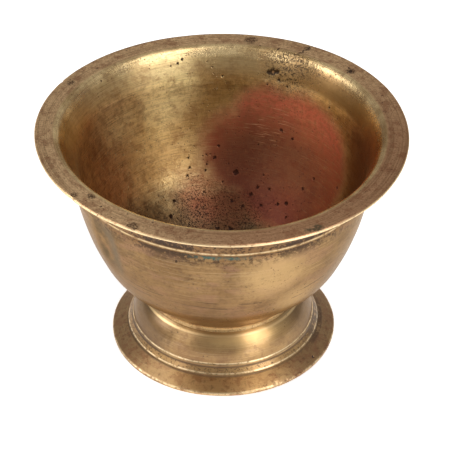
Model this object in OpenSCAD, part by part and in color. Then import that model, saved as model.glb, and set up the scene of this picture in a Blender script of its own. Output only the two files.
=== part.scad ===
// Shaving bowl: a cast and turned brass bowl with a wide flat lip, brazed to a
// hollow stepped pedestal foot.  Every piece is turned about the Z axis, and the
// foot rests on the plane z = 0.  Outline points are [radius, height].

/* [Bowl] */
// Diameter over the lip
rim_d = 127; // [124:1:130]
// Height from the table to the top of the lip
bowl_h = 84.5; // [83:0.5:86]
// Width of the flat on top of the lip
lip_w = 7; // [5.5:0.1:8]
// Height of the lip's thin outer edge
lip_edge_t = 1.2; // [0.8:0.1:1.8]
// Distance of the turned ridge below the top of the lip
ridge_drop = 11.5; // [10.5:0.1:12.5]
// Thickness of the wall half way up
wall_t = 2.6; // [2.2:0.1:3.2]
// Height of the inside floor above the table
floor_z = 16.5; // [15.5:0.1:18]

/* [Foot] */
// Diameter of the flange that rests on the table
foot_d = 80; // [78:1:84]
// Height of the flange's edge
flange_edge_t = 1.2; // [0.8:0.1:1.6]
// Diameter of the neck, where the foot meets the bowl
neck_d = 52; // [51.5:0.5:53]
// Height of the neck above the table
neck_z = 18.7; // [18.5:0.1:19]
// Thickness of the hollow foot's wall
foot_t = 2.4; // [1.8:0.1:2.6]

/* [Joint] */
// Diameter of the spigot under the bowl
spigot_d = 40; // [36:0.5:42]
// Gap that the brazing metal fills between spigot and socket
braze_gap = 0.2; // [0.1:0.05:0.2]

/* [Hidden] */
$fn = 180;

brass = [0.71, 0.56, 0.34];
braze_brass = [0.83, 0.67, 0.36];

rim_r = rim_d / 2;
foot_r = foot_d / 2;
neck_r = neck_d / 2;
spigot_r = spigot_d / 2;

// Bowl, outside: the thin lip, the cove under it, and the ridge with its groove
lip_chamfer = 0.5;
cove_top = [rim_r - 0.9, bowl_h - lip_edge_t];
cove_bend = 14;
ridge = [rim_r - 9.8, bowl_h - ridge_drop];
ridge_t = 0.8;
groove = ridge - [1.9, 2.8];
groove_bend = 5;

// Bowl, outside: the wall curves down to a shoulder, then a cone runs to the neck
wall_bend = 104;
shoulder = [rim_r - 19.9, bowl_h - 44.3];
shoulder_bend = 28;
cone_top = [rim_r - 24.9, bowl_h - 52.5];
cone_neck = [neck_r + 0.6, neck_z + 1.3];

// Bowl, inside: the round bottom, the wall, the throat and the flare to the lip
inner_shoulder = shoulder + [-wall_t, 1];
inner_bend = 78;
throat = [ridge[0] - 1.6 - wall_t, bowl_h - 14.3];
flare_bend = 26;
lip_round = 3;
lip_inner_r = rim_r - lip_w;
flare_top = [lip_inner_r - 0.83 * lip_round, bowl_h - 0.44 * lip_round];
inner_rise = inner_shoulder[1] - floor_z;
// This bend makes the bottom level on the axis
bottom_bend = (pow(inner_shoulder[0], 2) + pow(inner_rise, 2)) / (2 * inner_rise);

// Joint: the cone rests in the foot's seat, and the spigot goes through its web
seat_w = 1.4;
web_t = 3.4;
spigot_proud = 1;
spigot_chamfer = 0.6;
spigot_wall = 6;
floor_t = 3.6;
seat_low = [spigot_r + seat_w, cone_z(spigot_r + seat_w)];
seat_top = [neck_r - 0.4, cone_z(neck_r - 0.4)];
socket_r = spigot_r + braze_gap;
web_z = seat_low[1] - web_t;
spigot_z = web_z - spigot_proud;
spigot_hollow = [spigot_r - spigot_wall, floor_z - floor_t];

// Joint: the brazing metal's fillets, in the neck outside and under the web
fillet_top = [neck_r + 0.7, cone_z(neck_r + 0.7)];
fillet_low = [neck_r + 0.9, neck_z - 0.6];
fillet_way = fillet_top - fillet_low;
cone_way = cone_top - cone_neck;
// The fillet leaves the cone smoothly, unless that would bend it into the seat
fillet_turn = min(52, atan2(fillet_way[1], fillet_way[0]) - atan2(cone_way[1], cone_way[0]));
fillet_bend = norm(fillet_way) / 2 / sin(fillet_turn);
inner_fillet = 0.8;

// Foot, outside: the flange, two turned steps and the bell
rest_w = 2;
edge_round = 0.4;
flange_top = [foot_r - 5.8, 3.9];
step_low = [foot_r - 6.1, 4.9];
step_high = [foot_r - 7.3, 6.8];
bell_low = [foot_r - 7.8, 8.1];
bell_high = [neck_r + 1.9, neck_z - 1.4];
bell_bend = 14;

// Foot, inside: the hollow under the flange and the bell
hollow_low = [flange_top[0] - foot_t, 1.9];
hollow_mid = [bell_low[0] - foot_t, bell_low[1] - 0.8];
hollow_high = [bell_high[0] - 0.4, web_z];
hollow_bend = 12;

// Height of the bowl's cone at a radius
function cone_z(r) =
    cone_neck[1] + (r - cone_neck[0]) * (cone_top[1] - cone_neck[1]) / (cone_top[0] - cone_neck[0]);

// Points of the arc from a to b, without a itself.  A positive bend bulges to
// the left of the way from a to b, and a negative one to the right.
function arc(a, b, bend, steps = 10) =
    let (
        way = b - a,
        half = norm(way) / 2,
        side = sign(bend),
        rise = sqrt(pow(bend, 2) - pow(half, 2)),
        middle = (a + b) / 2 - side * rise * [-way[1], way[0]] / (2 * half),
        from = atan2(a[1] - middle[1], a[0] - middle[0]),
        turn = -side * 2 * asin(half / abs(bend))
    )
    [for (i = [1:steps])
        middle + abs(bend) * [cos(from + turn * i / steps), sin(from + turn * i / steps)]];

function bowl_outside() = concat(
    [[rim_r - lip_chamfer, bowl_h], [rim_r, bowl_h - 0.8 * lip_chamfer]],
    [[rim_r, bowl_h - 0.75 * lip_edge_t], cove_top],
    arc(cove_top, ridge, -cove_bend),
    [ridge - [0, ridge_t]],
    arc(ridge - [0, ridge_t], groove, -groove_bend, 6),
    arc(groove, shoulder, wall_bend, 16),
    arc(shoulder, cone_top, shoulder_bend, 8),
    [seat_low]
);

function bowl_spigot() = [
    [spigot_r, seat_low[1]],
    [spigot_r, spigot_z + spigot_chamfer],
    [spigot_r - spigot_chamfer, spigot_z],
    [spigot_hollow[0], spigot_z],
    spigot_hollow,
    [0, spigot_hollow[1]]
];

function bowl_inside() = concat(
    [[0, floor_z]],
    arc([0, floor_z], inner_shoulder, -bottom_bend, 16),
    arc(inner_shoulder, throat, -inner_bend, 12),
    arc(throat, flare_top, flare_bend, 8),
    arc(flare_top, [lip_inner_r, bowl_h], lip_round, 8)
);

module bowl() {
    color(brass)
    rotate_extrude()
    polygon(concat(bowl_outside(), bowl_spigot(), bowl_inside()));
}

function foot_outside() = concat(
    [[foot_r - rest_w, 0], [foot_r, 0]],
    [[foot_r, 0.7 * flange_edge_t], [foot_r - edge_round, flange_edge_t]],
    [flange_top, [flange_top[0], step_low[1] - edge_round], step_low],
    [step_high, [step_high[0] - 0.2, bell_low[1] - edge_round], bell_low],
    arc(bell_low, bell_high, -bell_bend),
    [fillet_low]
);

// The socket is the bowl's cone and spigot, moved out by the brazing gap
function foot_socket() = [
    seat_top - [0, braze_gap],
    seat_low - [0, braze_gap],
    [socket_r, seat_low[1] - braze_gap],
    [socket_r, web_z]
];

function foot_hollow() = concat(
    [hollow_high],
    arc(hollow_high, hollow_mid, hollow_bend),
    [hollow_low]
);

module foot() {
    color(brass)
    rotate_extrude()
    polygon(concat(foot_outside(), foot_socket(), foot_hollow()));
}

// Brazing metal: a thin film between the two castings, with a fillet at each end
module braze_ring() {
    color(braze_brass)
    rotate_extrude()
    polygon(concat(
        arc(fillet_top, fillet_low, -fillet_bend, 6),
        foot_socket(),
        [[socket_r + inner_fillet, web_z], [spigot_r, web_z - inner_fillet]],
        [[spigot_r, seat_low[1]], seat_low, fillet_top]
    ));
}

bowl();
foot();
braze_ring();
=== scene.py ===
"""Looks of the shaving bowl: an old brass bowl, cast, turned and brazed to a stepped foot.

The CAD frame gives the sizes.  Each piece is turned here again as a fine mesh, with the wear
of a long life: a lip that is no longer true, casting pits, nicks and a crack.  Lengths in the
shapes and materials are in millimetres and become metres when a mesh is made.  An azimuth
turns about +Z in degrees: 0 is +X, 90 the back, 180 the left and 270 the front.
"""
import math

import bmesh
import bpy
import numpy as np
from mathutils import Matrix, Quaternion, Vector, noise


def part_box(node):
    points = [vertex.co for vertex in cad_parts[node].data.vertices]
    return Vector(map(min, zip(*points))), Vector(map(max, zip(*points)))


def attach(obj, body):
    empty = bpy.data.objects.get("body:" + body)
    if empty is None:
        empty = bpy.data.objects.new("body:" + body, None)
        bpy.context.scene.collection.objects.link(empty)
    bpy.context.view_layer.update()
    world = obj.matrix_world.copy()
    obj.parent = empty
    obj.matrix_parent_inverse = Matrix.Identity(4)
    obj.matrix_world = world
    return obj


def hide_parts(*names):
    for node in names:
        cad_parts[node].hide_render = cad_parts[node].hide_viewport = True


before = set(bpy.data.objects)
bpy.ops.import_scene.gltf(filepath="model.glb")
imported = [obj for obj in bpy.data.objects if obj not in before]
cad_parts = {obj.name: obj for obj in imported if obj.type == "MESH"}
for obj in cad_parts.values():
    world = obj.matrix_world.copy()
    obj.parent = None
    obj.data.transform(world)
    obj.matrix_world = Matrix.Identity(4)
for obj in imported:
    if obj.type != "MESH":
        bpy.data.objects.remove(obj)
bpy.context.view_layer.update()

MM = 0.001
COLUMNS = 360
PLACE = "turned_place"

# Driving sizes, from the frame
RIM_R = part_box("bowl")[1].x / MM
BOWL_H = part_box("bowl")[1].z / MM
FOOT_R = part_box("foot")[1].x / MM

# Sizes that repeat the CAD part's own
NECK_R = 26.0
NECK_Z = 18.7
LIP_W = 7.0
WALL_T = 2.6
FLOOR_Z = 16.5
FOOT_T = 2.4
SPIGOT_R = 20.0
SPIGOT_HOLLOW = (14.0, 12.9)
SOCKET_R = 20.2
SEAT_LOW = (21.4, 14.8)
WEB_Z = 11.4
CONE_TOP = (RIM_R - 24.9, BOWL_H - 52.5)
SHOULDER = (RIM_R - 19.9, BOWL_H - 44.3)
RIDGE = (RIM_R - 9.8, BOWL_H - 11.5)
GROOVE = (RIDGE[0] - 1.9, RIDGE[1] - 2.8)
COVE_TOP = (RIM_R - 0.9, BOWL_H - 1.2)
FLANGE_TOP = (FOOT_R - 5.8, 3.9)
BELL_LOW = (FOOT_R - 7.8, 8.1)
BELL_HIGH = (NECK_R + 1.9, NECK_Z - 1.4)
FILLET_TOP = (NECK_R + 0.7, NECK_Z + 1.4)
FILLET_LOW = (NECK_R + 0.9, NECK_Z - 0.6)


# ---------------------------------------------------------------- outlines

def arc(a, b, bend, steps=24):
    """Points of the arc from a to b, without a.  A positive bend bulges to the left of the way."""
    a, b = np.array(a, float), np.array(b, float)
    way = b - a
    half = np.linalg.norm(way) / 2
    side = math.copysign(1, bend)
    rise = math.sqrt(bend * bend - half * half)
    middle = (a + b) / 2 - side * rise * np.array([-way[1], way[0]]) / (2 * half)
    start = math.atan2(a[1] - middle[1], a[0] - middle[0])
    turn = -side * 2 * math.asin(half / abs(bend))
    angles = start + turn * np.arange(1, steps + 1) / steps
    return [tuple(middle + abs(bend) * np.array([math.cos(t), math.sin(t)])) for t in angles]


def bowl_outside():
    """From the spigot's seat up the outer wall to the top of the lip."""
    ridge_low = (RIDGE[0], RIDGE[1] - 0.8)
    return [
        SEAT_LOW, CONE_TOP,
        *arc(CONE_TOP, SHOULDER, -28), *arc(SHOULDER, GROOVE, -104, 40),
        *arc(GROOVE, ridge_low, 5), RIDGE, *arc(RIDGE, COVE_TOP, 14),
        (RIM_R, BOWL_H - 0.9), (RIM_R, BOWL_H - 0.4), (RIM_R - 0.5, BOWL_H),
    ]


def bowl_inside():
    """From the top of the lip down the flare and the wall to the middle of the floor."""
    inner_shoulder = (SHOULDER[0] - WALL_T, SHOULDER[1] + 1)
    throat = (RIDGE[0] - 1.6 - WALL_T, BOWL_H - 14.3)
    lip_inner = (RIM_R - LIP_W, BOWL_H)
    flare_top = (lip_inner[0] - 2.5, BOWL_H - 1.32)
    rise = inner_shoulder[1] - FLOOR_Z
    bottom_bend = (inner_shoulder[0] ** 2 + rise ** 2) / (2 * rise)
    return [
        lip_inner, *arc(lip_inner, flare_top, -3), *arc(flare_top, throat, -26),
        *arc(throat, inner_shoulder, 78, 30), *arc(inner_shoulder, (0, FLOOR_Z), bottom_bend, 40),
    ]


def bowl_outline():
    """The whole section, from the middle underneath to the middle of the floor inside."""
    spigot = [
        (0, SPIGOT_HOLLOW[1]), SPIGOT_HOLLOW,
        (SPIGOT_HOLLOW[0], WEB_Z - 1), (SPIGOT_R - 0.6, WEB_Z - 1),
        (SPIGOT_R, WEB_Z - 0.4), (SPIGOT_R, SEAT_LOW[1]),
    ]
    return spigot + bowl_outside() + bowl_inside()


def foot_outline():
    """The closed section of the foot, from the inner edge of the face that rests on the table."""
    hollow_high = (BELL_HIGH[0] - 0.4, WEB_Z)
    hollow_mid = (BELL_LOW[0] - FOOT_T, BELL_LOW[1] - 0.8)
    return [
        (FOOT_R - 2, 0), (FOOT_R, 0), (FOOT_R, 0.84), (FOOT_R - 0.4, 1.2),
        FLANGE_TOP, (FLANGE_TOP[0], 4.5), (FOOT_R - 6.1, 4.9),
        (FOOT_R - 7.3, 6.8), (FOOT_R - 7.5, 7.7), BELL_LOW,
        *arc(BELL_LOW, BELL_HIGH, -14), FILLET_LOW,
        (NECK_R - 0.4, NECK_Z + 0.1), (SEAT_LOW[0], SEAT_LOW[1] - 0.2),
        (SOCKET_R, SEAT_LOW[1] - 0.2), (SOCKET_R, WEB_Z),
        hollow_high, *arc(hollow_high, hollow_mid, 12), (FLANGE_TOP[0] - FOOT_T, 1.9),
    ]


def braze_outline():
    """The closed section of the brazing metal: a film with a fillet at each end."""
    return [
        FILLET_TOP, *arc(FILLET_TOP, FILLET_LOW, -1.22, 12),
        (NECK_R - 0.4, NECK_Z + 0.1), (SEAT_LOW[0], SEAT_LOW[1] - 0.2),
        (SOCKET_R, SEAT_LOW[1] - 0.2), (SOCKET_R, WEB_Z),
        (SOCKET_R + 0.8, WEB_Z), (SPIGOT_R, WEB_Z - 0.8), (SPIGOT_R, SEAT_LOW[1]), SEAT_LOW,
    ]


def rows_along(outline, spacing, bend_step, softness, closed=False):
    """Points on the outline with its arrises rounded, close together where it bends."""
    points = np.array(outline + outline[:1] if closed else outline, float)
    along = np.r_[0, np.cumsum(np.linalg.norm(np.diff(points, axis=0), axis=1))]
    step = 0.05
    fine = np.arange(0, along[-1], step)
    dense = np.stack([np.interp(fine, along, points[:, i]) for i in (0, 1)], 1)
    reach = int(4 * softness / step)
    weights = np.exp(-0.5 * (np.arange(-reach, reach + 1) * step / softness) ** 2)
    weights /= weights.sum()
    if closed:
        padded = np.vstack([dense[-reach:], dense, dense[:reach]])
    else:
        padded = np.vstack([2 * dense[0] - dense[reach:0:-1], dense,
                            2 * dense[-1] - dense[-2:-reach - 2:-1]])
    soft = np.stack([np.convolve(padded[:, i], weights, "valid") for i in (0, 1)], 1)
    if closed:
        soft = np.vstack([soft, soft[:1]])
    else:
        soft[0], soft[-1] = points[0], points[-1]
    way = np.diff(soft, axis=0)
    heading = np.unwrap(np.arctan2(way[:, 1], way[:, 0]))
    bends = np.abs(np.r_[0, np.diff(heading)])
    cost = np.linalg.norm(way, axis=1) / spacing + bends / math.radians(bend_step)
    total = np.r_[0, np.cumsum(cost)]
    marks = np.linspace(0, total[-1], math.ceil(total[-1]) + 1)
    rows = np.stack([np.interp(marks, total, soft[:, i]) for i in (0, 1)], 1)
    return rows[:-1] if closed else rows


# ---------------------------------------------------------------- meshes

def lathe(name, rows, closed=False):
    """Turns the rows [radius, height] round Z.  A row on the axis becomes a single point."""
    turns = np.arange(COLUMNS) * 2 * math.pi / COLUMNS
    points, rings = [], []
    for radius, height in rows:
        if radius < 1e-6:
            rings.append([len(points)] * COLUMNS)
            points.append((0.0, 0.0, height))
        else:
            rings.append(list(range(len(points), len(points) + COLUMNS)))
            points += [(radius * math.cos(t), radius * math.sin(t), height) for t in turns]
    faces = []
    pairs = list(zip(rings, rings[1:] + rings[:1])) if closed else list(zip(rings, rings[1:]))
    for low, high in pairs:
        for i in range(COLUMNS):
            j = (i + 1) % COLUMNS
            corners = [low[i], low[j], high[j], high[i]]
            faces.append(tuple(dict.fromkeys(corners)))
    mesh = bpy.data.meshes.new(name)
    mesh.from_pydata(points, [], faces)
    piece = bpy.data.objects.new(name, mesh)
    bpy.context.scene.collection.objects.link(piece)
    shell = bmesh.new()
    shell.from_mesh(mesh)
    bmesh.ops.recalc_face_normals(shell, faces=shell.faces)
    shell.to_mesh(mesh)
    shell.free()
    return piece


def refine(piece, spots, cuts=3):
    """Makes the mesh finer round the spots, so that their shape is in the geometry."""
    shell = bmesh.new()
    shell.from_mesh(piece.data)
    centres = np.array([f.calc_center_median() for f in shell.faces])
    shell.edges.ensure_lookup_table()
    shell.faces.ensure_lookup_table()
    chosen = set()
    for centre, width, _ in spots:
        near = np.linalg.norm(centres - np.array(centre), axis=1) < 0.8 * width + 0.7
        for index in np.nonzero(near)[0]:
            chosen.update(e.index for e in shell.faces[index].edges)
    bmesh.ops.subdivide_edges(shell, edges=[shell.edges[i] for i in sorted(chosen)],
                              cuts=cuts, use_grid_fill=True)
    shell.to_mesh(piece.data)
    shell.free()


def get_points(mesh):
    """The mesh's points and its normals, as two arrays."""
    points = np.zeros(len(mesh.vertices) * 3)
    normals = np.zeros(len(mesh.vertices) * 3)
    mesh.vertices.foreach_get("co", points)
    mesh.vertex_normals.foreach_get("vector", normals)
    return points.reshape(-1, 3), normals.reshape(-1, 3)


def set_points(mesh, points):
    mesh.vertices.foreach_set("co", points.ravel())
    mesh.update()


def keep_place(piece):
    """Stores where each point was turned, before wear and warping, for the materials."""
    points, _ = get_points(piece.data)
    stored = piece.data.attributes.new(PLACE, "FLOAT_VECTOR", "POINT")
    stored.data.foreach_set("vector", points.ravel())


def smooth(share):
    """A smooth step from 0 to 1."""
    share = np.clip(share, 0, 1)
    return share * share * (3 - 2 * share)


def sink(points, normals, spots):
    """Presses each spot's pit into the surface: spots are (centre, width, depth)."""
    moved = points.copy()
    for centre, width, depth in spots:
        gap = np.linalg.norm(points - np.array(centre), axis=1)
        near = np.nonzero(gap < width)[0]
        for i in near:
            ragged = 1 + 0.35 * noise.noise(Vector(points[i]) * 1.9)
            share = smooth(1 - gap[i] / (0.62 * width * ragged))
            moved[i] -= normals[i] * 0.6 * depth * share
    return moved


def hand_worn(points, normals, amount, size):
    """Shallow waves that turning by hand and years of polishing leave."""
    waves = np.array([noise.noise(Vector(p) / size) for p in points])
    return points + normals * (amount * waves)[:, None]


# ---------------------------------------------------------------- marks on the surfaces

INSIDE = np.array(bowl_inside())
OUTSIDE = np.array(bowl_outside())


def at(azimuth, radius, height):
    """The point at that azimuth, radius and height."""
    turn = math.radians(azimuth)
    return (radius * math.cos(turn), radius * math.sin(turn), height)


def inside(azimuth, height):
    """The point on the bowl's inner wall at that height."""
    order = np.argsort(INSIDE[:, 1])
    return at(azimuth, np.interp(height, INSIDE[order, 1], INSIDE[order, 0]), height)


def outside(azimuth, height):
    """The point on the bowl's outer wall at that height."""
    order = np.argsort(OUTSIDE[:, 1])
    return at(azimuth, np.interp(height, OUTSIDE[order, 1], OUTSIDE[order, 0]), height)


def lip(azimuth, inset):
    """The point on top of the lip, that far in from its edge."""
    return at(azimuth, RIM_R - inset, BOWL_H)


def flange(azimuth, inset):
    """The point on top of the foot's flange, that far in from its edge."""
    height = np.interp(inset, [0.4, FOOT_R - FLANGE_TOP[0]], [1.2, FLANGE_TOP[1]])
    return at(azimuth, FOOT_R - inset, height)


# Most places in these lists were read off the photograph by eye and turned into azimuth and
# height by a separate ray-casting program, then rounded.  Widths and depths are estimates.

# Casting pits in the bowl: azimuth, height, width, depth
WALL_PITS = [
    (92, 47.6, 1.1, 0.35), (96, 44.8, 0.8, 0.25), (94, 43.7, 1.2, 0.4), (98, 44.9, 0.8, 0.25),
    (100, 44.6, 0.6, 0.2), (107, 44.5, 0.7, 0.2), (98, 41.7, 0.8, 0.2), (107, 41.3, 0.9, 0.3),
    (99, 39.7, 0.8, 0.25), (109, 38.8, 0.9, 0.3), (83, 39, 2.2, 0.6), (87, 41.8, 0.7, 0.2),
    (88, 52.2, 0.5, 0.2), (63, 56.1, 1.3, 0.4), (57, 54.3, 1.1, 0.3), (73, 49.1, 0.8, 0.25),
    (68, 39.4, 0.8, 0.25), (70, 35.4, 1.3, 0.35), (63, 35.8, 1.2, 0.3), (73, 33, 1.5, 0.4),
    (90, 35.9, 0.9, 0.3), (84, 30.7, 1.3, 0.35), (120, 32.5, 1.1, 0.4), (126, 29.1, 1.5, 0.4),
    (101, 33.3, 1.0, 0.3), (65, 30.8, 1.1, 0.3), (55, 32.5, 1.1, 0.35), (50, 33.7, 1.3, 0.4),
    (44, 39.9, 1.1, 0.3), (40, 44.8, 1.1, 0.3), (23, 48.1, 1.1, 0.3), (83, 23.9, 1.9, 0.5),
    (94, 24, 1.6, 0.4), (77, 29.5, 1.2, 0.3), (123, 38.5, 0.6, 0.2), (40, 72.3, 1.0, 0.3),
    (83, 58.5, 0.6, 0.2), (46, 30.3, 0.9, 0.3), (106, 81.2, 1.1, 0.3), (108, 80.1, 0.9, 0.3),
    (111, 79.5, 0.7, 0.2), (96, 79.7, 0.8, 0.25), (94, 77.8, 0.9, 0.3), (90, 74.4, 1.1, 0.35),
    (71, 72.7, 0.9, 0.3), (62, 73.6, 0.9, 0.3), (142, 82.3, 0.7, 0.2), (66, 75.1, 1.3, 0.3),
]
# Pits in the top of the lip: azimuth, inset, width, depth
LIP_PITS = [
    (76, 7.2, 0.8, 0.25), (69, 7.4, 1.1, 0.35), (39, 5.2, 1.6, 0.35), (41, 4.0, 1.0, 0.2),
    (21, 4, 0.6, 0.2), (17, 5.6, 0.6, 0.2), (12, 6.7, 0.7, 0.25), (139, 5, 1.0, 0.3),
    (124, 2, 0.6, 0.2), (113, 3.2, 0.6, 0.2), (178, 6.7, 0.8, 0.25), (175, 4.2, 0.7, 0.2),
    (223, 5.8, 1.1, 0.2), (229, 4, 0.9, 0.2), (247, 6.6, 0.8, 0.2), (235, 1.7, 0.9, 0.2),
    (238, 6.5, 0.7, 0.2),
]
# The big pit below the crack, made of three that run together: azimuth, height, width, depth
BIG_PIT = [(69, 77.6, 2.8, 0.6), (70.6, 77.2, 1.9, 0.4), (67.3, 77.9, 2.0, 0.4)]
# Pits in the outer wall: azimuth, height, width, depth
OUTER_PITS = [(253, 66.5, 1.1, 0.3), (267, 64.4, 0.6, 0.2), (294, 38.7, 1.0, 0.2)]
# Pits in the top of the foot's flange: azimuth, inset, width, depth
FLANGE_PITS = [(326, 1.7, 1.0, 0.3)]
# The crack across the lip, from its edge to the bowl: azimuth, inset
CRACK = [(58.6, 0.2), (59.6, 1.6), (58.9, 2.8), (60.2, 4.6), (59.8, 6.0), (61.2, 7.6), (62.0, 8.3)]
# Dark stains and crusts on top of the lip: azimuth, inset, width
LIP_STAINS = [
    (80, 4.2, 4.5), (39, 5.0, 3.4), (223, 5.8, 3.2), (219, 1.7, 2.4), (242.5, 1.5, 4.0),
    (59.5, 3.0, 2.6), (152, 3.6, 3.0),
]
LIP_CRUSTS = [(300, 1.6, 4.4), (297, 2.0, 2.6)]
# Knocks on the lip's and the flange's edges: azimuth, width, depth
LIP_NICKS = [(152.5, 2.2, 0.5), (219.5, 3.0, 0.45), (196.2, 1.0, 0.35), (262, 1.2, 0.15)]
FLANGE_NICKS = [(298, 2.6, 0.35), (304, 1.6, 0.25), (233, 1.8, 0.25)]
# The dent in the wall: azimuth and height, half its width and half its height, depth
DENT = (219, 59)
DENT_REACH = (8, 15)
DENT_DEPTH = 1.1
# Azimuth of the painted shade in the dent, a dark reflection
DENT_SHADE_AZIMUTH = 219.5
# The two long scores: their heights before they wander, which lowers them by about 3
SCORE_HEIGHTS = (46.1, 49.2)


def along_crack(steps, width, depth):
    """Pits in a row along the crack, so close that they join."""
    azimuths, insets = zip(*CRACK)
    marks = range(len(CRACK))
    return [(lip(np.interp(s, marks, azimuths), np.interp(s, marks, insets)), width, depth)
            for s in np.linspace(0, len(CRACK) - 1, steps)]


wall_pits = [(inside(a, h), w, d) for a, h, w, d in WALL_PITS]
lip_pits = [(lip(a, i), w, d) for a, i, w, d in LIP_PITS]
outer_pits = [(outside(a, h), w, d) for a, h, w, d in OUTER_PITS]
flange_pits = [(flange(a, i), w, d) for a, i, w, d in FLANGE_PITS]
big_pit = [(inside(a, h), w, d) for a, h, w, d in BIG_PIT]
crack = along_crack(19, 0.75, 0.35)
lip_nicks = [(at(a, RIM_R, BOWL_H - 0.3), w, d) for a, w, d in LIP_NICKS]
flange_nicks = [(at(a, FOOT_R, 0.9), w, d) for a, w, d in FLANGE_NICKS]


# ---------------------------------------------------------------- the three pieces

def warp_lip(points):
    """The lip is no longer true: it leans, its edge waves, and it is narrower on its left."""
    turn = np.arctan2(points[:, 1], points[:, 0])
    share = smooth((points[:, 2] - 45) / (BOWL_H - 45))
    lift = -0.7 * np.cos(turn) + 0.65 * np.cos(2 * turn) + 0.55 * np.sin(2 * turn)
    spread = -0.2 + 0.2 * np.cos(2 * turn)
    moved = points.copy()
    radius = np.hypot(points[:, 0], points[:, 1])
    inner = smooth((points[:, 2] - 73) / 9) * smooth((RIM_R - 4.5 - radius) / 2.5)
    spread = spread + 1.1 * inner * np.clip(-np.cos(turn), 0, 1) ** 2
    moved[:, 0] += share * (spread * np.cos(turn) - 0.3)
    moved[:, 1] += share * (spread * np.sin(turn) + 0.5)
    moved[:, 2] += share * lift
    return moved


def warp_flange(points):
    """The flange is bent up a little on its right, and the foot sits off centre."""
    turn = np.arctan2(points[:, 1], points[:, 0])
    radius = np.hypot(points[:, 0], points[:, 1])
    share = smooth((radius - 24) / (FOOT_R - 24)) * smooth((17 - points[:, 2]) / 12)
    moved = points.copy()
    moved[:, 0] += 0.45 * share
    moved[:, 1] -= 0.2 * share
    moved[:, 2] += share * 0.45 * (1 + np.cos(turn))
    return moved


def dent_wall(points):
    """An old knock pushed the wall in a little, in an upright hollow at the front left."""
    centre = np.array(outside(*DENT))
    radial = centre * (1, 1, 0) / np.hypot(centre[0], centre[1])
    tangent = np.array([-radial[1], radial[0], 0])
    gap = points - centre
    across = (gap @ tangent) / DENT_REACH[0]
    upright = gap[:, 2] / DENT_REACH[1]
    # Both faces of the wall move, and nothing across the bowl does
    this_side = np.abs(gap @ radial) < 12
    share = smooth(1 - np.hypot(across, upright)) * this_side
    return points - radial * (DENT_DEPTH * share)[:, None]


def make_bowl():
    rows = rows_along(bowl_outline(), spacing=1.45, bend_step=12, softness=0.1)
    piece = lathe("cast_bowl", rows)
    spots = wall_pits + lip_pits + outer_pits + big_pit + crack + lip_nicks
    refine(piece, spots)
    keep_place(piece)
    points, normals = get_points(piece.data)
    points = sink(points, normals, spots)
    points = dent_wall(hand_worn(points, normals, amount=0.06, size=9))
    set_points(piece.data, warp_lip(points) * MM)
    return piece


def make_foot():
    rows = rows_along(foot_outline(), spacing=0.9, bend_step=8, softness=0.09, closed=True)
    piece = lathe("pedestal_foot", rows, closed=True)
    spots = flange_pits + flange_nicks
    refine(piece, spots)
    keep_place(piece)
    points, normals = get_points(piece.data)
    points = sink(points, normals, spots)
    worn = hand_worn(points, normals, amount=0.07, size=8)
    # The waves don't take the face that rests on the table below it
    worn[:, 2] = np.maximum(worn[:, 2], np.minimum(points[:, 2], 0.0))
    set_points(piece.data, warp_flange(worn) * MM)
    return piece


def make_braze():
    rows = rows_along(braze_outline(), spacing=0.7, bend_step=22, softness=0.08, closed=True)
    piece = lathe("braze_fillet", rows, closed=True)
    keep_place(piece)
    points, _ = get_points(piece.data)
    set_points(piece.data, points * MM)
    return piece


# ---------------------------------------------------------------- material graphs

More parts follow.
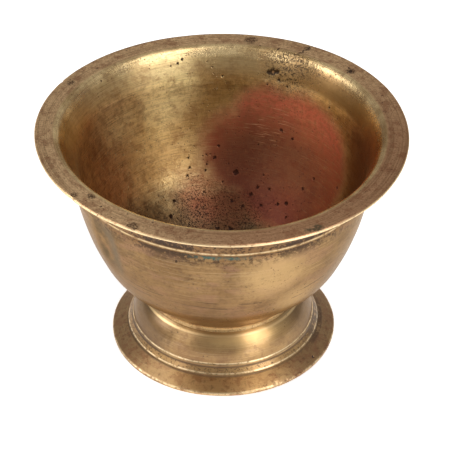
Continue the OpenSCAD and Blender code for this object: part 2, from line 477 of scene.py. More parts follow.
class Graph:
    """Short names for the nodes of one material.  Places inside it are in millimetres."""

    def __init__(self, name):
        self.material = bpy.data.materials.new(name)
        self.material.use_nodes = True
        self.tree = self.material.node_tree
        self.shader = self.tree.nodes["Principled BSDF"]
        place = self.node("ShaderNodeAttribute", attribute_name=PLACE)
        self.place = place.outputs["Vector"]
        split = self.node("ShaderNodeSeparateXYZ")
        self.link(self.place, split.inputs[0])
        self.z = split.outputs["Z"]
        flat = self.vector("MULTIPLY", self.place, (1, 1, 0))
        self.radius = self.vector("LENGTH", flat)
        self.around = self.vector("NORMALIZE", flat)

    def node(self, kind, **settings):
        made = self.tree.nodes.new(kind)
        for key, value in settings.items():
            setattr(made, key, value)
        return made

    def link(self, source, socket):
        """Sets a socket to a number, a tuple or another node's output."""
        if isinstance(source, bpy.types.NodeSocket):
            self.tree.links.new(source, socket)
        elif socket.type == "RGBA" and len(source) == 3:
            socket.default_value = (*source, 1)
        else:
            socket.default_value = source

    def math(self, operation, a, b=0.0):
        made = self.node("ShaderNodeMath", operation=operation)
        self.link(a, made.inputs[0])
        self.link(b, made.inputs[1])
        return made.outputs[0]

    def vector(self, operation, a, b=(0, 0, 0), scale=1.0):
        made = self.node("ShaderNodeVectorMath", operation=operation)
        self.link(a, made.inputs[0])
        self.link(b, made.inputs[1])
        self.link(scale, made.inputs[3])
        single = operation in ("LENGTH", "DISTANCE", "DOT_PRODUCT")
        return made.outputs["Value" if single else "Vector"]

    def step(self, value, low, high, to_low=0.0, to_high=1.0):
        """A smooth step of the value, from to_low at low to to_high at high."""
        made = self.node("ShaderNodeMapRange", interpolation_type="SMOOTHSTEP")
        for socket, number in zip(made.inputs, (value, low, high, to_low, to_high)):
            self.link(number, socket)
        return made.outputs[0]

    def both(self, *masks):
        """Where all the masks are.  A number among them weakens the rest."""
        result = masks[0]
        for mask in masks[1:]:
            result = self.math("MULTIPLY", result, mask)
        return result

    def either(self, *masks):
        """Where any of the masks is."""
        result = masks[0]
        for mask in masks[1:]:
            result = self.math("MAXIMUM", result, mask)
        return result

    def less(self, mask):
        """Where the mask isn't."""
        return self.math("SUBTRACT", 1.0, mask)

    def mix(self, share, a, b):
        """Colour a, turning to colour b as share goes to 1."""
        made = self.node("ShaderNodeMix", data_type="RGBA")
        self.link(share, made.inputs["Factor"])
        self.link(a, made.inputs[6])
        self.link(b, made.inputs[7])
        return made.outputs[2]

    def blend(self, share, a, b):
        """Number a, turning to number b as share goes to 1."""
        made = self.node("ShaderNodeMix", data_type="FLOAT")
        self.link(share, made.inputs["Factor"])
        self.link(a, made.inputs[2])
        self.link(b, made.inputs[3])
        return made.outputs[0]

    def noise(self, size, detail, place=None, rough=0.55):
        """Noise whose patches are about that many millimetres across."""
        made = self.node("ShaderNodeTexNoise")
        self.link(self.place if place is None else place, made.inputs["Vector"])
        self.link(1 / size, made.inputs["Scale"])
        self.link(detail, made.inputs["Detail"])
        self.link(rough, made.inputs["Roughness"])
        return made.outputs["Fac"]

    def specks(self, size, width):
        """Round specks on a jittered grid of that size: 1 at a speck's middle, 0 at its width."""
        made = self.node("ShaderNodeTexVoronoi")
        self.link(self.place, made.inputs["Vector"])
        self.link(1 / size, made.inputs["Scale"])
        return self.step(made.outputs["Distance"], 0.5 * width / size, 0.15 * width / size)

    def turned(self, lean, fine, length):
        """Noise drawn out round the axis, as a lathe tool leaves it.

        lean is 1 where the outline rises outwards and -1 where it falls outwards."""
        across = self.math("ADD", self.math("MULTIPLY", self.z, lean), self.radius)
        lines = self.math("DIVIDE", across, fine)
        long_way = self.vector("SCALE", self.around, scale=length)
        joined = self.node("ShaderNodeCombineXYZ")
        self.link(lines, joined.inputs[2])
        place = self.vector("ADD", long_way, joined.outputs[0])
        return self.noise(1.0, 2.0, place)

    def spots(self, spots, grow=1.0):
        """1 inside the spots' ragged outlines, and 0 well outside them."""
        wander = self.node("ShaderNodeTexNoise")
        self.link(self.place, wander.inputs["Vector"])
        self.link(1.6, wander.inputs["Scale"])
        self.link(2.0, wander.inputs["Detail"])
        shift = self.vector("SUBTRACT", wander.outputs["Color"], (0.5, 0.5, 0.5))
        place = self.vector("ADD", self.place, self.vector("SCALE", shift, scale=1.6))
        nearest = None
        for centre, width, _ in spots:
            gap = self.vector("DISTANCE", place, centre)
            share = self.math("MULTIPLY", gap, 2 / (width * grow))
            nearest = share if nearest is None else self.math("MINIMUM", nearest, share)
        return self.step(nearest, 1.05, 0.65)

    def patch(self, centre, reach, edge, size, ragged):
        """A patch round a centre: 1 within reach, fading over edge.

        Its outline wanders by a share, ragged, of its reach, in waves of that size."""
        gap = self.vector("DISTANCE", self.place, centre)
        wave = self.math("SUBTRACT", self.noise(size, 4.0), 0.5)
        wave = self.math("MULTIPLY", wave, 2 * ragged * reach)
        return self.step(self.math("ADD", gap, wave), reach + edge, reach - edge)

    def patch_ring(self, radius, height, reach):
        """A ring round the axis at that radius and height, fading over reach."""
        joined = self.node("ShaderNodeCombineXYZ")
        self.link(self.radius, joined.inputs[0])
        self.link(self.z, joined.inputs[1])
        gap = self.vector("DISTANCE", joined.outputs[0], (radius, height, 0))
        return self.step(gap, reach, 0.2 * reach)

    def finish(self, colour, roughness, metallic, coat, bumps):
        """Joins the layers to the shader.  bumps are (height, distance in mm)."""
        self.link(colour, self.shader.inputs["Base Color"])
        self.link(roughness, self.shader.inputs["Roughness"])
        self.link(metallic, self.shader.inputs["Metallic"])
        normal = None
        for height, distance in bumps:
            made = self.node("ShaderNodeBump")
            made.inputs["Strength"].default_value = 1.0
            made.inputs["Distance"].default_value = distance * MM
            self.link(height, made.inputs["Height"])
            if normal is not None:
                self.link(normal, made.inputs["Normal"])
            normal = made.outputs["Normal"]
        self.link(normal, self.shader.inputs["Normal"])
        tangent = self.node("ShaderNodeTangent", direction_type="RADIAL", axis="Z")
        self.link(tangent.outputs[0], self.shader.inputs["Tangent"])
        self.shader.inputs["Anisotropic"].default_value = 0.55
        self.shader.inputs["Anisotropic Rotation"].default_value = 0.25
        self.shader.inputs["Specular Tint"].default_value = (0.8, 0.66, 0.5, 1)
        self.link(coat, self.shader.inputs["Coat Weight"])
        self.shader.inputs["Coat Roughness"].default_value = 0.24
        return self.material


# ---------------------------------------------------------------- materials

# Colours of brass, its grime and the light and shade painted on it, as linear RGB
GOLD = (0.56, 0.36, 0.155)
TAN = (0.38, 0.21, 0.085)
BROWN = (0.20, 0.097, 0.036)
DEEP = (0.075, 0.036, 0.016)
# Pale lines: the lathe's light lines, and worn clean arrises with a painted glint
PALE_LINE_AND_GLINT = (0.92, 0.70, 0.40)
RUST = (0.27, 0.10, 0.042)
OLIVE = (0.10, 0.08, 0.043)
TEAL = (0.07, 0.15, 0.125)
# Dirt, and painted shade in corners
DIRT_AND_SHADE = (0.055, 0.026, 0.012)
BLACK = (0.032, 0.013, 0.007)

# On top of the lip
LIP_PALE = (0.80, 0.53, 0.28)
LIP_BROWN = (0.52, 0.285, 0.147)
LIP_MOTTLE = (0.36, 0.18, 0.085)
LIP_FLECK = (0.10, 0.036, 0.018)

# Inside the bowl
INNER_LIGHT = (0.66, 0.46, 0.21)
INNER_DARK = (0.50, 0.32, 0.135)
INNER_BROWN = (0.34, 0.19, 0.085)
# Lighter deep inside, and a painted highlight at the back left
POLISH_AND_HIGHLIGHT_LIGHT = (0.88, 0.64, 0.30)
POLISH_AND_HIGHLIGHT_DARK = (0.68, 0.46, 0.20)
# A painted highlight band under the flare
HIGHLIGHT_BAND_LIGHT = (0.98, 0.79, 0.38)
HIGHLIGHT_BAND_DARK = (0.94, 0.72, 0.34)
# A painted highlight on the lip's inner round
ROUND_HIGHLIGHT = (0.93, 0.68, 0.34)
# Brown on the flare: partly tarnish, partly painted shade; painted shade on its right
FLARE_BROWN_AND_SHADE = (0.27, 0.155, 0.055)
FLARE_RIGHT_SHADE = (0.23, 0.13, 0.047)
INNER_MOTTLE = (0.36, 0.20, 0.075)
TARNISH_PALE = (0.13, 0.068, 0.028)
TARNISH_DEEP = (0.045, 0.022, 0.01)
TARNISH_MIDDLE = (0.055, 0.03, 0.014)

# The blush inside the bowl
RED = (0.63, 0.15, 0.09)
RED_LOW = (0.34, 0.07, 0.035)
WINE = (0.115, 0.024, 0.016)
RED_SCRATCH = (0.80, 0.44, 0.26)
RED_PIT = (0.055, 0.014, 0.009)

# Outside the bowl
OUTER_LIGHT = (0.295, 0.172, 0.068)
OUTER_DARK = (0.21, 0.116, 0.044)
OUTER_BROWN = (0.115, 0.055, 0.022)
PINK = (0.31, 0.165, 0.095)
# Painted shade in the dent, a dark reflection
DENT_SHADE = (0.07, 0.045, 0.019)

# On the foot
FOOT_LIGHT = (0.42, 0.25, 0.095)
FOOT_DARK = (0.31, 0.17, 0.063)
# A painted reflection on the neck, and painted shade on the bell's sides
NECK_REFLECTION = (0.80, 0.51, 0.20)
BELL_SIDE_SHADE = (0.13, 0.069, 0.027)
FLANGE_PALE = (0.80, 0.52, 0.23)
FLANGE_BROWN = (0.34, 0.19, 0.08)
STEP_TAN = (0.55, 0.32, 0.12)
# A painted highlight on the bell's shoulder
SHOULDER_HIGHLIGHT = (0.88, 0.61, 0.29)


def patina(g, light, dark, brown, lean, length, etched):
    """Old brass: clouds, blotches, a leathery grain and the lathe's fine lines.

    Gives the colour and the grain and lines, which the finish uses again."""
    grain = g.noise(1.5, 5, rough=0.72)
    blotch = g.noise(5, 5, rough=0.68)
    lines = g.turned(lean, 0.22, length)
    bands = g.turned(lean, 1.3, 2.0)
    colour = g.mix(g.step(g.noise(15, 3), 0.36, 0.62), dark, light)
    colour = g.mix(g.both(g.step(blotch, 0.48, 0.66), 0.5), colour, brown)
    colour = g.mix(g.both(g.step(bands, 0.5, 0.66), 0.2), colour, brown)
    colour = g.mix(g.both(g.step(grain, 0.5, 0.66), 0.45), colour, brown)
    colour = g.mix(g.both(g.step(grain, 0.46, 0.36), 0.3), colour, light)
    colour = g.mix(g.both(g.step(lines, 0.54, 0.66), etched), colour, DEEP)
    colour = g.mix(g.both(g.step(lines, 0.44, 0.34), etched), colour, PALE_LINE_AND_GLINT)
    return colour, grain, lines


def unpolished(g, grain):
    """The dull brown of metal that never got a polish."""
    return g.mix(g.step(grain, 0.42, 0.6), BROWN, DEEP)


def lip_patina(g):
    """The top of the lip: dull tan, browner at the front and right, with rust and dark flecks."""
    mottle = g.noise(1.4, 5, rough=0.75)
    flecks = g.noise(0.65, 4, rough=0.8)
    smudge = g.noise(6, 6, rough=0.75)
    streaks = g.turned(1, 0.5, 1.3)
    colour = g.mix(g.patch(lip(320, 3), 62, 28, 12, 0.1), LIP_PALE, LIP_BROWN)
    colour = g.mix(g.both(g.step(mottle, 0.42, 0.62), 0.5), colour, LIP_MOTTLE)
    colour = g.mix(g.both(g.step(streaks, 0.48, 0.64), 0.4), colour, BROWN)
    colour = g.mix(g.both(g.step(smudge, 0.5, 0.6), 0.5), colour, RUST)
    colour = g.mix(g.both(g.step(flecks, 0.55, 0.61), 0.65), colour, LIP_FLECK)
    stains = g.spots([(lip(a, i), w, 0) for a, i, w in LIP_STAINS], 1.2)
    colour = g.mix(g.both(stains, g.step(flecks, 0.42, 0.52), 0.9), colour, DEEP)
    crusts = g.spots([(lip(a, i), w, 0) for a, i, w in LIP_CRUSTS], 1.1)
    return g.mix(g.both(crusts, g.step(mottle, 0.38, 0.5), 0.85), colour, OLIVE)


def bowl_sides(g):
    """Masks of the bowl's three sides: the top of the lip, the inside and the outside."""
    geometry = g.node("ShaderNodeNewGeometry")
    facing = g.vector("SUBTRACT", (0, 0, 1), g.around)
    inward = g.step(g.vector("DOT_PRODUCT", geometry.outputs["Normal"], facing), 0.1, 0.5)
    inner_edge = RIM_R - LIP_W
    on_lip = g.both(g.step(g.radius, inner_edge - 0.9, inner_edge + 0.2),
                    g.step(g.z, BOWL_H - 1.5, BOWL_H - 0.5))
    in_bowl = g.both(inward, g.less(on_lip))
    outer = g.both(g.less(inward), g.less(on_lip))
    return on_lip, in_bowl, outer


def bowl_metal(g, in_bowl, outer):
    """The bowl's brass before its stains: brighter gold inside than outside.

    Gives the colour, the grain and the lines, and masks of the pale place under the flare and
    of the lip's inner round: both are painted highlights."""
    not_outer = g.less(outer)
    deep_in = g.both(g.step(g.z, 79, 72), not_outer)
    round_in = g.both(g.step(g.z, 80.8, 82.6), not_outer)
    # Lighter deep inside; the patch at the back left is a painted highlight
    polish_and_highlight = g.either(deep_in, g.both(g.patch(inside(113, 74), 20, 9, 9, 0.15), not_outer))
    # Painted highlight: a band under the flare at the back left, and lower down
    under_flare = g.either(g.patch(inside(114, 71), 12, 6, 6, 0.15),
                           g.both(g.patch(inside(143, 69), 11, 7, 6, 0.15), 0.65))
    highlight_band = g.either(under_flare, g.patch(inside(130, 62), 15, 9, 9, 0.15))
    highlight_band = g.both(highlight_band, in_bowl)
    light = g.mix(outer, INNER_LIGHT, OUTER_LIGHT)
    light = g.mix(polish_and_highlight, light, POLISH_AND_HIGHLIGHT_LIGHT)
    light = g.mix(highlight_band, light, HIGHLIGHT_BAND_LIGHT)
    # The lip's inner round is painted lighter: a painted highlight
    light = g.mix(round_in, light, ROUND_HIGHLIGHT)
    dark = g.mix(outer, INNER_DARK, OUTER_DARK)
    dark = g.mix(polish_and_highlight, dark, POLISH_AND_HIGHLIGHT_DARK)
    dark = g.mix(highlight_band, dark, HIGHLIGHT_BAND_DARK)
    brown = g.mix(outer, INNER_BROWN, OUTER_BROWN)
    length = g.blend(outer, 6.0, 2.4)
    etched = g.blend(outer, 0.4, 0.17)
    colour, grain, lines = patina(g, light, dark, brown, 1, length, etched)
    return colour, grain, lines, under_flare, round_in


def outer_colours(g, colour, outer):
    """Outside: pinkish bands, two golden places that are painted highlights, flecks, brown low down,
    and painted shade under the ridge.
    """
    pinkish = g.step(g.turned(1, 6, 4), 0.5, 0.64)
    colour = g.mix(g.both(pinkish, 0.45, outer), colour, PINK)
    colour = g.mix(g.both(g.step(g.z, 60, 42), outer, 0.3), colour, BROWN)
    # Painted highlights: two golden places on the front right
    painted_highlights = g.either(g.patch(outside(291, 59), 11, 7, 6, 0.4),
                      g.patch(outside(303, 42), 7, 6, 6, 0.4))
    colour = g.mix(g.both(painted_highlights, outer, 0.7), colour, GOLD)
    flecks = g.step(g.noise(0.9, 4, rough=0.8), 0.58, 0.64)
    flecks = g.both(flecks, g.step(g.noise(10, 4), 0.42, 0.58), outer)
    colour = g.mix(g.both(flecks, 0.6), colour, DEEP)
    # Painted shade under the ridge
    shade_below_ridge = g.both(g.step(g.z, RIDGE[1] - 6, RIDGE[1] - 2), outer)
    shade_below_ridge = g.both(shade_below_ridge, g.step(g.noise(12, 3), 0.35, 0.6))
    colour = g.mix(g.both(shade_below_ridge, 0.55), colour, BROWN)
    low_left = g.both(g.patch(outside(212, 48), 15, 8, 9, 0.2), outer)
    return g.mix(g.both(low_left, 0.35), colour, BROWN)


def inner_wear(g, colour, in_bowl, outer):
    """Inside: a brown flare, partly tarnish and partly painted shade, with painted shade on its
    right, fine mottling, and a duller place behind.
    """
    not_outer = g.less(outer)
    # The flare's brown is partly tarnish and partly painted shade
    flare = g.both(g.step(g.z, 74, 76.5), g.step(g.z, 82.4, 80.6), not_outer)
    right = g.patch(inside(46, 78), 28, 9, 9, 0.15)
    colour = g.mix(g.both(flare, g.either(right, 0.4), 0.75), colour, FLARE_BROWN_AND_SHADE)
    # Painted shade on the flare's right
    right_flare_shade = g.both(g.patch(inside(38, 80), 18, 7, 9, 0.15),
                        g.step(g.z, 74, 78), g.step(g.z, 83.2, 82.2), not_outer)
    colour = g.mix(g.both(right_flare_shade, 0.75), colour, FLARE_RIGHT_SHADE)
    mottled = g.step(g.noise(3.2, 6, rough=0.75), 0.49, 0.6)
    mottled = g.both(mottled, in_bowl, g.step(g.z, 82, 79))
    colour = g.mix(g.both(mottled, 0.4), colour, INNER_MOTTLE)
    duller = g.both(g.patch(inside(103, 58), 9, 7, 6, 0.2), in_bowl)
    return g.mix(g.both(duller, 0.3), colour, TAN)


def outer_marks(g, colour, grain, outer):
    """Outside: painted shade in the dent, brown above the neck, two long scores, and the spigot."""
    # Painted shade: a dark upright band in the dent
    towards = g.vector("DOT_PRODUCT", g.around, at(DENT_SHADE_AZIMUTH, 1, 0))
    dent_shade = g.both(g.step(towards, 0.990, 0.998), outer)
    dent_shade = g.both(dent_shade, g.step(g.z, 44, 54), g.step(g.z, 71, 64))
    dent_shade = g.both(dent_shade, g.step(g.noise(7, 4), 0.3, 0.55))
    colour = g.mix(g.both(dent_shade, 0.85), colour, DENT_SHADE)
    above_neck = g.both(g.step(g.z, 37, 27), outer)
    colour = g.mix(g.both(above_neck, 0.55), colour, BROWN)
    wander = g.math("ADD", g.z, g.math("MULTIPLY", g.noise(38, 1), 6))
    gaps = [g.math("ABSOLUTE", g.math("SUBTRACT", wander, height)) for height in SCORE_HEIGHTS]
    scores = g.either(*[g.step(gap, 0.32, 0.1) for gap in gaps])
    scores = g.both(scores, outer, g.step(g.noise(11, 4), 0.46, 0.54))
    colour = g.mix(g.both(scores, 0.85), colour, DEEP)
    spigot = g.both(g.step(g.z, 15.6, 14.6), outer)
    return g.mix(g.both(spigot, 0.7), colour, unpolished(g, grain))


def bottom_tarnish(g, grain, in_bowl):
    """The brown tarnish at the bottom inside: its mask and its colour."""
    edge_height = g.math("ADD", g.z, g.math("MULTIPLY", g.noise(9, 4), 14))
    bottom = g.both(g.step(edge_height, 51, 36), in_bowl)
    tarnish = g.mix(g.step(grain, 0.4, 0.6), TARNISH_PALE, TARNISH_DEEP)
    tarnish = g.mix(g.patch(inside(84, 23), 15, 8, 6, 0.4), tarnish, TARNISH_MIDDLE)
    return bottom, tarnish


def red_blush(g, grain, lines, in_bowl):
    """The red blush inside, at the back right, with a wine-coloured middle: mask and colour."""
    blush = g.either(g.patch(inside(53, 47), 25.5, 4, 8, 0.08),
                     g.patch(inside(69, 57.5), 14.5, 4, 7, 0.1),
                     g.patch(inside(79, 46.5), 16.5, 5, 7, 0.12),
                     g.both(g.patch(inside(90, 34), 14, 7, 6, 0.3), 0.5))
    blush = g.both(blush, in_bowl)
    wine = g.both(g.patch(inside(63, 36), 24, 10, 8, 0.25), blush)
    red = g.mix(g.step(g.z, 50, 68), RED_LOW, RED)
    red = g.mix(g.both(g.step(grain, 0.42, 0.62), 0.5), red, RUST)
    red = g.mix(g.both(g.step(lines, 0.42, 0.3), 0.45), red, GOLD)
    red = g.mix(g.both(wine, g.step(grain, 0.66, 0.5, 0.6, 0.88)), red, WINE)
    scratches = g.both(g.step(g.turned(1, 0.45, 7), 0.59, 0.67),
                       g.patch(inside(69, 58), 9, 5, 5, 0.4))
    return blush, g.mix(g.both(scratches, 0.5), red, RED_SCRATCH)


def cove_dirt_and_shade(g, colour, outer):
    """Dirt and painted shade in the cove and under the ridge, verdigris, and painted glints on the
    two edges.

    Gives the colour and the mask of the darkened places."""
    ridge_z = RIDGE[1]
    cove_z = COVE_TOP[1]
    grime = g.noise(1.5, 6, rough=0.8)
    heavy = g.either(g.patch(outside(250, 69), 10, 6, 5, 0.4),
                     g.patch(outside(299, 70), 8, 5, 5, 0.4), 0.15)
    dirty = g.math("ADD", grime, g.math("MULTIPLY", heavy, 0.14))
    in_cove = g.both(g.step(g.z, ridge_z + 0.3, ridge_z + 1.0),
                     g.step(g.z, cove_z + 0.2, cove_z - 0.5), outer)
    under = g.both(g.step(g.z, ridge_z - 9, ridge_z - 1.4),
                   g.step(g.z, ridge_z - 0.5, ridge_z - 1.0), outer)
    groove = g.both(g.patch_ring(GROOVE[0] + 0.5, GROOVE[1] + 0.6, 2.6), outer)
    # Painted shade: browner in the cove under the lip and in the groove under the ridge
    colour = g.mix(g.both(g.either(in_cove, groove), 0.6), colour, BROWN)
    packed = g.both(under, g.step(g.z, ridge_z - 3.6, ridge_z - 1.8), g.step(grime, 0.42, 0.5))
    # Dirt, partly painted shade, in the cove and under the ridge
    dirt_and_shade = g.either(g.both(in_cove, g.step(dirty, 0.5, 0.6)),
                    g.both(under, g.step(dirty, 0.515, 0.605)), g.both(packed, 0.8))
    colour = g.mix(g.both(dirt_and_shade, 0.9), colour, DIRT_AND_SHADE)
    verdigris = g.both(g.patch(outside(269, 71), 9, 5, 3, 0.4), outer,
                       g.step(g.z, 68.6, 70), g.step(g.z, 72.3, 71.6))
    colour = g.mix(g.both(verdigris, g.step(grime, 0.45, 0.55), 0.85), colour, TEAL)
    # Worn clean metal with a painted glint on the ridge and the lip's edge
    ridge_glint = g.patch_ring(RIDGE[0] + 0.1, ridge_z, 0.5)
    ridge_glint = g.both(ridge_glint, g.step(grime, 0.62, 0.45), 0.6)
    lip_glint = g.patch_ring(RIM_R + 0.1, BOWL_H - 0.5, 0.62)
    lip_glint = g.both(lip_glint, g.step(grime, 0.7, 0.5), 0.95)
    return g.mix(g.either(ridge_glint, lip_glint), colour, PALE_LINE_AND_GLINT), dirt_and_shade


def bowl_pits(g, in_bowl):
    """Mask of the bowl's pits: those that the lists place, fine ones, pores and the crack's."""
    pitted = g.math("ADD", g.noise(6, 3), g.math("MULTIPLY", in_bowl, 0.05))
    fine_pits = g.both(g.specks(1.3, 0.62), g.step(pitted, 0.5, 0.6))
    dense = g.either(g.patch(inside(92, 25), 14, 6, 6, 0.4),
                     g.patch(inside(61, 80), 10, 5, 4, 0.4))
    dense = g.math("ADD", dense, 0.08)
    pores = g.both(g.step(g.noise(0.55, 4, rough=0.8), 0.53, 0.6), dense, in_bowl)
    crack_pits = g.both(g.step(g.noise(1.0, 4, rough=0.8), 0.55, 0.59),
                        g.patch(inside(63, 79), 9, 5, 4, 0.4))
    holes = g.spots(wall_pits + lip_pits + outer_pits + big_pit + crack, 1.12)
    return g.either(holes, g.both(fine_pits, 0.75), g.both(pores, 0.85),
                    g.both(crack_pits, in_bowl, 0.9))


def bowl_brass():
    g = Graph("aged_brass_bowl")
    on_lip, in_bowl, outer = bowl_sides(g)
    colour, grain, lines, under_flare, round_in = bowl_metal(g, in_bowl, outer)
    # Painted shade: the inner wall at the right is painted browner
    shade = g.both(g.patch(inside(-5, 62), 26, 12, 9, 0.2), in_bowl)
    colour = g.mix(g.both(shade, 0.75), colour, BROWN)
    colour = outer_colours(g, colour, outer)
    colour = inner_wear(g, colour, in_bowl, outer)
    colour = outer_marks(g, colour, grain, outer)
    bottom, tarnish = bottom_tarnish(g, grain, in_bowl)
    colour = g.mix(g.both(bottom, 0.93), colour, tarnish)
    colour = g.mix(on_lip, colour, lip_patina(g))
    blush, red = red_blush(g, grain, lines, in_bowl)
    colour = g.mix(g.both(blush, 0.93), colour, red)
    colour, dirt_and_shade = cove_dirt_and_shade(g, colour, outer)
    pits = bowl_pits(g, in_bowl)
    colour = g.mix(g.both(pits, 0.9), colour, g.mix(blush, BLACK, RED_PIT))
    in_big_pit = g.spots([(inside(69, 77.4), 1.0, 0)])
    colour = g.mix(in_big_pit, colour, TAN)

    stained = g.either(blush, bottom)
    dull = g.either(pits, dirt_and_shade)
    roughness = g.blend(grain, 0.24, 0.42)
    roughness = g.blend(g.both(in_bowl, g.step(g.z, 78, 82)), roughness, 0.26)
    roughness = g.blend(g.both(on_lip, 0.8), roughness, 0.42)
    roughness = g.blend(g.both(under_flare, in_bowl), roughness, 0.52)
    roughness = g.blend(g.both(stained, 0.8), roughness, 0.47)
    roughness = g.blend(dull, roughness, 0.8)
    metallic = g.less(g.either(g.both(dull, 0.15), g.both(blush, 0.25)))
    coat = g.blend(stained, 0.25, 0.06)
    smooth_grain = g.blend(round_in, grain, 0.5)
    bumps = [(lines, 0.028), (smooth_grain, 0.05), (g.less(pits), 0.1)]
    return g.finish(colour, roughness, metallic, coat, bumps)


def bell_light_and_shade(g, colour, on_flange):
    """The bell and the neck: a golden painted reflection at the front right of the neck, and painted
    shade, browner, at both sides.
    """
    on_bell = g.less(on_flange)
    # Painted reflection: golden at the front right of the neck
    neck_reflection = g.both(g.patch(at(288, BELL_HIGH[0], BELL_HIGH[1] - 1), 15, 8, 9, 0.15), on_bell)
    colour = g.mix(g.both(neck_reflection, g.step(g.z, 12.5, 16.5, 0.0, 0.65)), colour, NECK_REFLECTION)
    # Painted shade: browner at both sides of the bell
    sides = g.either(g.patch(at(200, 30, 15), 17, 7, 9, 0.2),
                     g.patch(at(346, 30, 15), 12, 8, 9, 0.2))
    return g.mix(g.both(sides, on_bell, 0.75), colour, BELL_SIDE_SHADE)


def flange_wear(g, colour, grain, blotch, on_flange):
    """The flange: paler in front, with rust in blotches, dark grain and two places painted lighter
    as highlights.
    """
    front = g.patch(flange(265, 3), 22, 10, 9, 0.2)
    tint = g.mix(front, FLANGE_BROWN, FLANGE_PALE)
    colour = g.mix(g.both(on_flange, 0.5), colour, tint)
    colour = g.mix(g.both(on_flange, g.step(blotch, 0.47, 0.58), 0.5), colour, RUST)
    colour = g.mix(g.both(on_flange, g.step(grain, 0.54, 0.66), 0.35), colour, DEEP)
    # Painted highlights at the flange's front left and front right
    painted_highlights = g.either(g.patch(flange(232, 2.4), 8, 6, 5, 0.4),
                      g.patch(flange(300, 2.0), 8, 5, 5, 0.4))
    return g.mix(g.both(painted_highlights, on_flange, g.step(grain, 0.62, 0.4), 0.45), colour, GOLD)


def step_dirt_and_shade(g, colour, grain, blotch):
    """Painted shade under the two steps, dirty speckles between them, and painted glints on the
    arrises.

    Gives the colour and the mask of the darkened places."""
    # Painted shade: dark rings in the corners under the two steps
    low_corner_shade = g.patch_ring(FLANGE_TOP[0] + 0.2, FLANGE_TOP[1] + 0.2, 0.6)
    high_corner_shade = g.patch_ring(FOOT_R - 7.2, 6.9, 0.6)
    band = g.both(g.step(g.radius, FOOT_R - 7.4, FOOT_R - 7.1),
                  g.step(g.radius, FOOT_R - 5.8, FOOT_R - 6.1), g.step(g.z, 4.6, 5.2))
    colour = g.mix(g.both(band, 0.4), colour, STEP_TAN)
    speckle = g.both(band, g.step(g.noise(0.8, 4, rough=0.8), 0.52, 0.6))
    crusted = g.both(g.patch(flange(352, 7), 13, 6, 3, 0.3),
                     g.step(g.radius, FOOT_R - 3.8, FOOT_R - 4.8), g.step(g.z, 8, 7))
    crusted = g.both(crusted, g.step(blotch, 0.42, 0.5))
    dirt_and_shade = g.either(g.both(low_corner_shade, 0.6), g.both(high_corner_shade, 0.65),
                    g.both(speckle, 0.8), g.both(crusted, 0.6))
    colour = g.mix(g.both(dirt_and_shade, 0.92), colour, DIRT_AND_SHADE)
    # Worn clean metal with a painted glint on the arrises
    arris_glint = g.either(g.patch_ring(BELL_LOW[0] + 0.15, BELL_LOW[1], 0.42),
                     g.patch_ring(FOOT_R - 6.0, 4.95, 0.4),
                     g.both(g.patch_ring(FOOT_R, 0.9, 0.6), g.step(blotch, 0.62, 0.42)))
    colour = g.mix(g.both(arris_glint, g.step(grain, 0.66, 0.46), 0.9), colour, PALE_LINE_AND_GLINT)
    # A painted highlight on the bell's shoulder
    shoulder_highlight = g.patch_ring(BELL_HIGH[0] - 0.5, BELL_HIGH[1] + 0.5, 0.8)
    shoulder_highlight = g.either(g.patch_ring(BELL_HIGH[0] + 0.1, BELL_HIGH[1], 0.75),
                           g.both(shoulder_highlight, 0.35))
    return g.mix(g.both(shoulder_highlight, 0.75), colour, SHOULDER_HIGHLIGHT), dirt_and_shade


def foot_hollow(g):
    """Mask of the hollow underneath, which never got a polish."""
    geometry = g.node("ShaderNodeNewGeometry")
    up = g.vector("DOT_PRODUCT", geometry.outputs["Normal"], (0, 0, 1))
    facing_down = g.both(g.step(up, 0.0, -0.3), g.step(g.z, 0.3, 1.0))
    low_wall = g.both(g.step(g.radius, FOOT_R - 6.5, FOOT_R - 7.5), g.step(g.z, 6, 5))
    return g.either(facing_down, low_wall)


def foot_brass():
    g = Graph("aged_brass_foot")
    colour, grain, lines = patina(g, FOOT_LIGHT, FOOT_DARK, BROWN, -1, 2.2, 0.2)
    blotch = g.noise(3.2, 6, rough=0.75)
    on_flange = g.step(g.radius, FLANGE_TOP[0] - 0.1, FLANGE_TOP[0] + 0.8)
    colour = bell_light_and_shade(g, colour, on_flange)
    colour = flange_wear(g, colour, grain, blotch, on_flange)
    colour, dirt_and_shade = step_dirt_and_shade(g, colour, grain, blotch)
    hollow = foot_hollow(g)
    colour = g.mix(g.both(hollow, 0.75), colour, unpolished(g, grain))
    fine_pits = g.both(g.specks(1.5, 0.62), g.step(g.noise(7, 3), 0.54, 0.64))
    pits = g.either(g.spots(flange_pits), g.both(fine_pits, 0.75))
    colour = g.mix(g.both(pits, 0.9), colour, BLACK)

    dull = g.either(pits, dirt_and_shade)
    roughness = g.blend(grain, 0.24, 0.42)
    roughness = g.blend(g.both(on_flange, 0.8), roughness, 0.4)
    roughness = g.blend(dull, roughness, 0.8)
    roughness = g.blend(hollow, roughness, 0.6)
    metallic = g.less(g.both(dull, 0.15))
    coat = g.blend(hollow, 0.62, 0.1)
    bumps = [(lines, 0.022), (grain, 0.05), (g.less(pits), 0.1)]
    return g.finish(colour, roughness, metallic, coat, bumps)


def braze_brass():
    g = Graph("brazing_brass")
    cloud = g.noise(3, 4)
    grit = g.noise(0.5, 3, rough=0.7)
    colour = g.mix(g.step(cloud, 0.35, 0.55), TAN, GOLD)
    colour = g.mix(g.both(g.step(grit, 0.52, 0.65), 0.6), colour, DEEP)
    roughness = g.blend(cloud, 0.35, 0.55)
    metallic = g.less(g.both(grit, 0.2))
    return g.finish(colour, roughness, metallic, 0.25, [(cloud, 0.1), (grit, 0.04)])


# ---------------------------------------------------------------- stage, light and camera

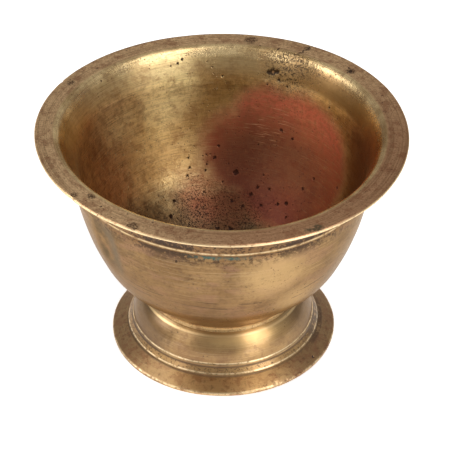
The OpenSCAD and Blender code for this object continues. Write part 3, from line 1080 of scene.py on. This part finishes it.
def make_camera():
    """Stands where the photograph's camera stood: 12 lip radii away, 37.5 degrees above."""
    rim = RIM_R * MM
    rise = math.radians(37.48)
    roll = 0.0041
    reach = 12 * rim
    # Its height counts from here, and it aims at a point near the middle of the bowl
    base = 0.6 * rim
    camera = bpy.data.objects.new("camera", bpy.data.cameras.new("camera"))
    bpy.context.scene.collection.objects.link(camera)
    camera.data.lens = 173.2
    camera.location = (0, -reach * math.cos(rise), reach * math.sin(rise) + base)
    aim = Vector((0.0137 * rim, 0, 0.7022 * rim)) - camera.location
    camera.rotation_mode = "QUATERNION"
    camera.rotation_quaternion = aim.to_track_quat("-Z", "Y") @ Quaternion((0, 0, 1), roll)
    bpy.context.scene.camera = camera


def make_floor():
    mesh = bpy.data.meshes.new("floor")
    side = 3
    corners = [(-side, -side, 0), (side, -side, 0), (side, side, 0), (-side, side, 0)]
    mesh.from_pydata(corners, [], [(0, 1, 2, 3)])
    floor = bpy.data.objects.new("floor", mesh)
    bpy.context.scene.collection.objects.link(floor)
    material = bpy.data.materials.new("white_paper")
    material.use_nodes = True
    shader = material.node_tree.nodes["Principled BSDF"]
    shader.inputs["Base Color"].default_value = (0.95, 0.95, 0.95, 1)
    shader.inputs["Roughness"].default_value = 0.9
    shader.inputs["Emission Color"].default_value = (1, 1, 1, 1)
    shader.inputs["Emission Strength"].default_value = 0.5
    mesh.materials.append(material)


def softbox(name, azimuth, elevation, width, height, radiance):
    """A soft light 1.1 m from the bowl.  Its azimuth is 0 at the camera and grows to the right.

    The width and height are in metres."""
    light = bpy.data.lights.new(name, "AREA")
    light.shape = "RECTANGLE"
    light.size, light.size_y = width, height
    light.energy = radiance * math.pi * width * height
    lamp = bpy.data.objects.new(name, light)
    bpy.context.scene.collection.objects.link(lamp)
    turn, rise = math.radians(azimuth), math.radians(elevation)
    way = Vector((math.sin(turn) * math.cos(rise), -math.cos(turn) * math.cos(rise), math.sin(rise)))
    lamp.location = Vector((0, 0, 0.05)) + way * 1.1
    lamp.rotation_mode = "QUATERNION"
    lamp.rotation_quaternion = (-way).to_track_quat("-Z", "Y")


def make_light():
    world = bpy.data.worlds.new("studio")
    bpy.context.scene.world = world
    world.use_nodes = True
    background = world.node_tree.nodes["Background"]
    background.inputs["Color"].default_value = (1, 1, 1, 1)
    background.inputs["Strength"].default_value = 0.45
    softbox("right_low", 34, 0.6, 0.28, 0.1, 8)
    softbox("right_high", 46, 33, 0.45, 1.1, 2.8)
    softbox("right_top", 62, 62, 0.6, 0.6, 2.2)
    softbox("left_low", -51, 0.6, 0.3, 0.1, 4)
    softbox("left_high", -52, 30, 0.35, 0.7, 1.7)
    softbox("left_side", -86, 30, 0.45, 0.6, 3.4)
    softbox("left_top", -85, 60, 0.5, 0.5, 1.5)
    bpy.context.scene.view_settings.view_transform = "Standard"


# ---------------------------------------------------------------- putting it together

def dress(piece, node, material):
    """Gives a turned piece its finish and its place in the frame."""
    piece.data.materials.append(material)
    piece.data.polygons.foreach_set("use_smooth", [True] * len(piece.data.polygons))
    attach(piece, "root")
    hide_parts(node)


make_camera()
make_floor()
make_light()
dress(make_bowl(), "bowl", bowl_brass())
dress(make_foot(), "foot", foot_brass())
dress(make_braze(), "braze_ring", braze_brass())
